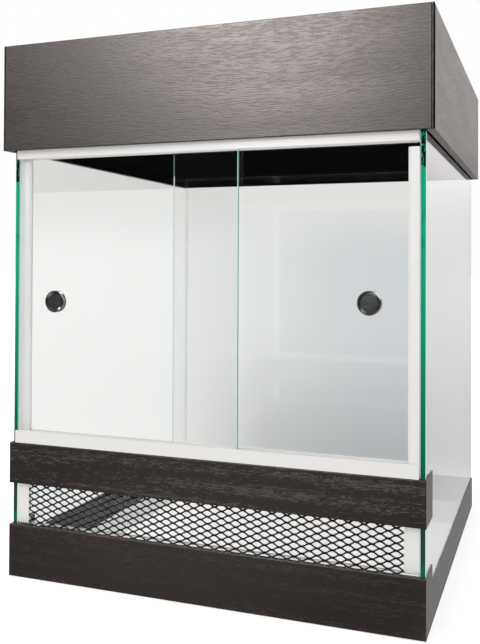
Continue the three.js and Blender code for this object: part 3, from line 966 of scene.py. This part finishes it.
# ------------------------------------------------------------------ stage


CAMERA_PLACE = Vector((0.3572, -1.0756, 0.3662))
CAMERA_YAW = 20.566
CAMERA_PITCH = 0.664
CAMERA_ROLL = 0.253
PHOTO_WIDTH = 480
FOCAL_PIXELS = 832.63
HORIZON_SHIFT = -66.4  # pixels from the frame's middle to the optical axis
SENSOR = 36.0


def make_camera():
    data = bpy.data.cameras.new("photo_camera")
    data.sensor_fit = "HORIZONTAL"
    data.sensor_width = SENSOR
    data.lens = FOCAL_PIXELS / PHOTO_WIDTH * SENSOR
    data.shift_y = HORIZON_SHIFT / PHOTO_WIDTH
    data.clip_start = 0.01
    camera = bpy.data.objects.new("photo_camera", data)
    yaw = Matrix.Rotation(math.radians(CAMERA_YAW), 4, "Z")
    level = Matrix.Rotation(math.radians(90 + CAMERA_PITCH), 4, "X")
    roll = Matrix.Rotation(math.radians(CAMERA_ROLL), 4, "Z")
    camera.matrix_world = Matrix.Translation(CAMERA_PLACE) @ yaw @ level @ roll
    bpy.context.scene.collection.objects.link(camera)
    bpy.context.scene.camera = camera


def make_softbox(name, place, target, width, height, power):
    data = bpy.data.lights.new(name, "AREA")
    data.shape = "RECTANGLE"
    data.size = width
    data.size_y = height
    data.energy = power
    light = bpy.data.objects.new(name, data)
    light.location = place
    light.rotation_euler = (Vector(target) - Vector(place)).to_track_quat("-Z", "Y").to_euler()
    bpy.context.scene.collection.objects.link(light)
    return light


# What shows through the glass falls off from left to right in a fan around this place. It
# is the ground under the camera, so the fan fits the photograph's camera alone.
FAN_PLACE = Vector((0.357, -1.076))
FAN_LEFT = -0.50  # sideways distance for each metre of depth, where it is brightest
FAN_RIGHT = -0.17
SHEEN_POOL = (-0.08, -0.45, 0.0)  # where the floor in front mirrors the softbox
CROWN_TOWARD = Vector((0.56, 0.15, 0.78)).normalized()  # the glint on the knobs' rims
BRIGHT = (1.035, 1.035, 1.015, 1)
DIM = (0.735, 0.760, 0.785, 1)
WHITE = (1, 1, 1, 1)
BEHIND_BACK = (0.25, 0.30)  # depths over which the floor passes under the back pane
FLOOR_SEEN = (0.45, 0.45, 0.45, 1)
FLOOR_LIGHT = (0.90, 0.90, 0.90, 1)
WORLD_LIGHT_INSIDE = (1.15, 1.15, 1.15, 1)


def fan_share(tree, sideways, depth):
    """0 where the light behind the cabinet is brightest, 1 where it is dimmest."""
    fan = math_node(tree, "DIVIDE", sideways, math_node(tree, "MAXIMUM", depth, 0.01))
    return ramp(tree, fan, FAN_LEFT, FAN_RIGHT)


def by_path(tree, direct, mirrored, through, light, light_inside):
    """The colour for what is seen directly, in any gloss or only through glass, and for
    what lights other surfaces from outside and inside the glass."""
    path = add_node(tree, "ShaderNodeLightPath").outputs
    crossed, bounced, diffused = (
        math_node(tree, "GREATER_THAN", path[f"{kind} Depth"], 0.5)
        for kind in ("Transmission", "Glossy", "Diffuse"))
    seen = blend_colors(tree, crossed, direct, through)
    seen = blend_colors(tree, bounced, seen, mirrored)
    lighting = blend_colors(tree, crossed, light, light_inside)
    indirect = math_node(tree, "MAXIMUM", crossed, math_node(tree, "MAXIMUM", bounced, diffused))
    return blend_colors(tree, diffused, seen, lighting), indirect


def floor_material(look):
    """Pale floor. Through the glass it dims to the right and towards the cabinet, and in
    a gloss it is dim in front but for one pool. Both are fitted to the photograph."""
    material, tree, shader = new_material(
        "stage_floor", Roughness=0.9, Specular_IOR_Level=0.0, Emission_Strength=1.0)
    place = object_place(tree)
    axes = add_node(tree, "ShaderNodeSeparateXYZ", {0: place}).outputs
    sideways = math_node(tree, "SUBTRACT", axes[0], FAN_PLACE.x)
    depth = math_node(tree, "SUBTRACT", axes[1], FAN_PLACE.y)
    near = math_node(tree, "DIVIDE", 1.0, math_node(tree, "MAXIMUM", depth, 0.01))
    share = fan_share(tree, sideways, depth)
    loss = math_node(tree, "MINIMUM", math_node(tree, "MULTIPLY", share, 0.7), 0.35)
    fall = math_node(tree, "MULTIPLY", ramp(tree, near, 0.15, 0.75), loss)
    dimmed = scaled(tree, blend_colors(tree, share, BRIGHT, DIM),
                    math_node(tree, "SUBTRACT", 1.0, fall))
    outside = ramp(tree, axes[1], *BEHIND_BACK)
    inside = ramp(tree, axes[0], -0.22, 0.12, 0.86, 0.68)
    through = blend_colors(tree, outside, inside, dimmed)
    beside = math_node(tree, "MULTIPLY", ramp(tree, axes[0], 0.22, 0.25),
                       ramp(tree, axes[1], -0.42, -0.22))
    beside = math_node(tree, "MAXIMUM", beside, ramp(tree, axes[1], 0.26, 0.36))
    far = math_node(tree, "ADD", ramp(tree, near, 0.05, 0.55, 0.74, 0.61),
                    ramp(tree, near, 0.58, 0.72, 0.0, 0.12))
    pool = add_node(tree, "ShaderNodeVectorMath", {
        0: place, 1: SHEEN_POOL}, operation="DISTANCE").outputs["Value"]
    lit = ramp(tree, pool, 0.35, 0.05, 0.02, 0.46)
    gloss = math_node(tree, "MULTIPLY_ADD", beside, far, lit)
    glow, indirect = by_path(tree, FLOOR_SEEN, gloss, through, FLOOR_LIGHT, WHITE)
    feed(tree, shader.inputs["Base Color"], blend_colors(
        tree, indirect, opaque(look.floor), (0, 0, 0, 1)))
    feed(tree, shader.inputs["Emission Color"], glow)
    return material


def make_world():
    """A surround that is seen as even white. Through the glass it dims to the right, and
    in a gloss it is bright behind the cabinet and above its right side, and dark in front.
    Both are fitted to the photograph."""
    world = bpy.data.worlds.new("studio")
    bpy.context.scene.world = world
    world.use_nodes = True
    tree = world.node_tree
    background = tree.nodes["Background"]
    toward = add_node(tree, "ShaderNodeTexCoord").outputs["Generated"]
    axes = add_node(tree, "ShaderNodeSeparateXYZ", {0: toward}).outputs
    level = blend_colors(tree, fan_share(tree, axes[0], axes[1]), BRIGHT, DIM)
    through = blend_colors(tree, ramp(tree, axes[2], 0.0, 0.09), level, (0.90, 0.90, 0.88, 1))
    back = math_node(tree, "MULTIPLY", ramp(tree, axes[1], -0.20, 0.60),
                     ramp(tree, axes[0], -0.85, -0.55))
    tall = blend_colors(tree, ramp(tree, axes[2], 0.05, 0.20),
                        (0.74, 0.74, 0.74, 1), (1.34, 1.27, 1.24, 1))
    crown = add_node(tree, "ShaderNodeVectorMath", {
        0: toward, 1: CROWN_TOWARD}, operation="DOT_PRODUCT").outputs["Value"]
    glint = ramp(tree, crown, 0.70, 0.93, 0.02, 2.2)
    gloss = add_node(tree, "ShaderNodeVectorMath", {
        0: scaled(tree, tall, back), 1: glint}, operation="ADD").outputs[0]
    tone = by_path(tree, WHITE, gloss, through, WHITE, WORLD_LIGHT_INSIDE)[0]
    feed(tree, background.inputs["Color"], tone)
    background.inputs["Strength"].default_value = 1.0


class TERRARIUM_OT_stage(Operator):
    """Makes the floor, the soft studio light and the photograph's camera"""

    bl_idname = "terrarium.stage"
    bl_label = "Stage"

    def execute(self, context):
        look = context.scene.terrarium_stage
        bpy.ops.mesh.primitive_plane_add(size=2 * look.reach, location=(0, 0, -0.6 * MM))
        floor = context.active_object
        floor.name = "stage_floor"
        floor.data.materials.append(floor_material(look))
        make_world()
        sheen = make_softbox("sheen_softbox", (-0.66, -2.35, 1.40), (0, -0.25, 0.55),
                             width=0.5, height=0.5, power=66)
        sheen.visible_diffuse = False  # it only gives the boards their sheen
        make_softbox("key_softbox", (-1.3, -2.2, 1.9), (0, 0, 0.3),
                     width=0.8, height=0.8, power=12)
        make_camera()
        scene = context.scene
        scene.view_settings.view_transform = "Standard"
        scene.cycles.max_bounces = 24
        scene.cycles.glossy_bounces = 20
        scene.cycles.transmission_bounces = 24
        scene.cycles.transparent_max_bounces = 24
        return {"FINISHED"}


# ------------------------------------------------------------------ add-on


def shared_group(name, make):
    """The node group of that name, built when it is first asked for."""
    return bpy.data.node_groups.get(name) or make()


OPERATORS = (
    TERRARIUM_OT_glass, TERRARIUM_OT_silicone, TERRARIUM_OT_foot_boards,
    TERRARIUM_OT_white_trim, TERRARIUM_OT_vent_mesh, TERRARIUM_OT_top_vent,
    TERRARIUM_OT_knobs, TERRARIUM_OT_hood, TERRARIUM_OT_stage,
)

LOOKS = {
    "terrarium_glass": GlassLook,
    "terrarium_boards": BoardLook,
    "terrarium_plastic": PlasticLook,
    "terrarium_mesh": MeshLook,
    "terrarium_knobs": KnobLook,
    "terrarium_stage": StageLook,
}


class TERRARIUM_PT_sidebar(Panel):
    """Lists the operators and the sizes and colours that they use"""

    bl_idname = "TERRARIUM_PT_sidebar"
    bl_label = "Terrarium cabinet"
    bl_space_type = "VIEW_3D"
    bl_region_type = "UI"
    bl_category = "Terrarium"

    def draw(self, context):
        for operator in OPERATORS:
            self.layout.operator(operator.bl_idname)
        for name, look in LOOKS.items():
            box = self.layout.box()
            settings = getattr(context.scene, name)
            for label in look.__annotations__:
                box.prop(settings, label)


def register():
    for look in LOOKS.values():
        bpy.utils.register_class(look)
    for operator in OPERATORS:
        bpy.utils.register_class(operator)
    bpy.utils.register_class(TERRARIUM_PT_sidebar)
    for name, look in LOOKS.items():
        setattr(bpy.types.Scene, name, PointerProperty(type=look))


def unregister():
    for name in LOOKS:
        delattr(bpy.types.Scene, name)
    bpy.utils.unregister_class(TERRARIUM_PT_sidebar)
    for operator in reversed(OPERATORS):
        bpy.utils.unregister_class(operator)
    for look in reversed(LOOKS.values()):
        bpy.utils.unregister_class(look)


def corners(bounds):
    return [list(corner) for corner in bounds]


def main():
    register()
    bpy.ops.terrarium.stage()
    bpy.ops.terrarium.glass()
    bpy.ops.terrarium.silicone()
    bpy.ops.terrarium.foot_boards()
    bpy.ops.terrarium.white_trim()
    bpy.ops.terrarium.vent_mesh()
    bpy.ops.terrarium.top_vent()
    bpy.ops.terrarium.knobs()
    bpy.ops.terrarium.hood()


if __name__ == "__main__":
    main()
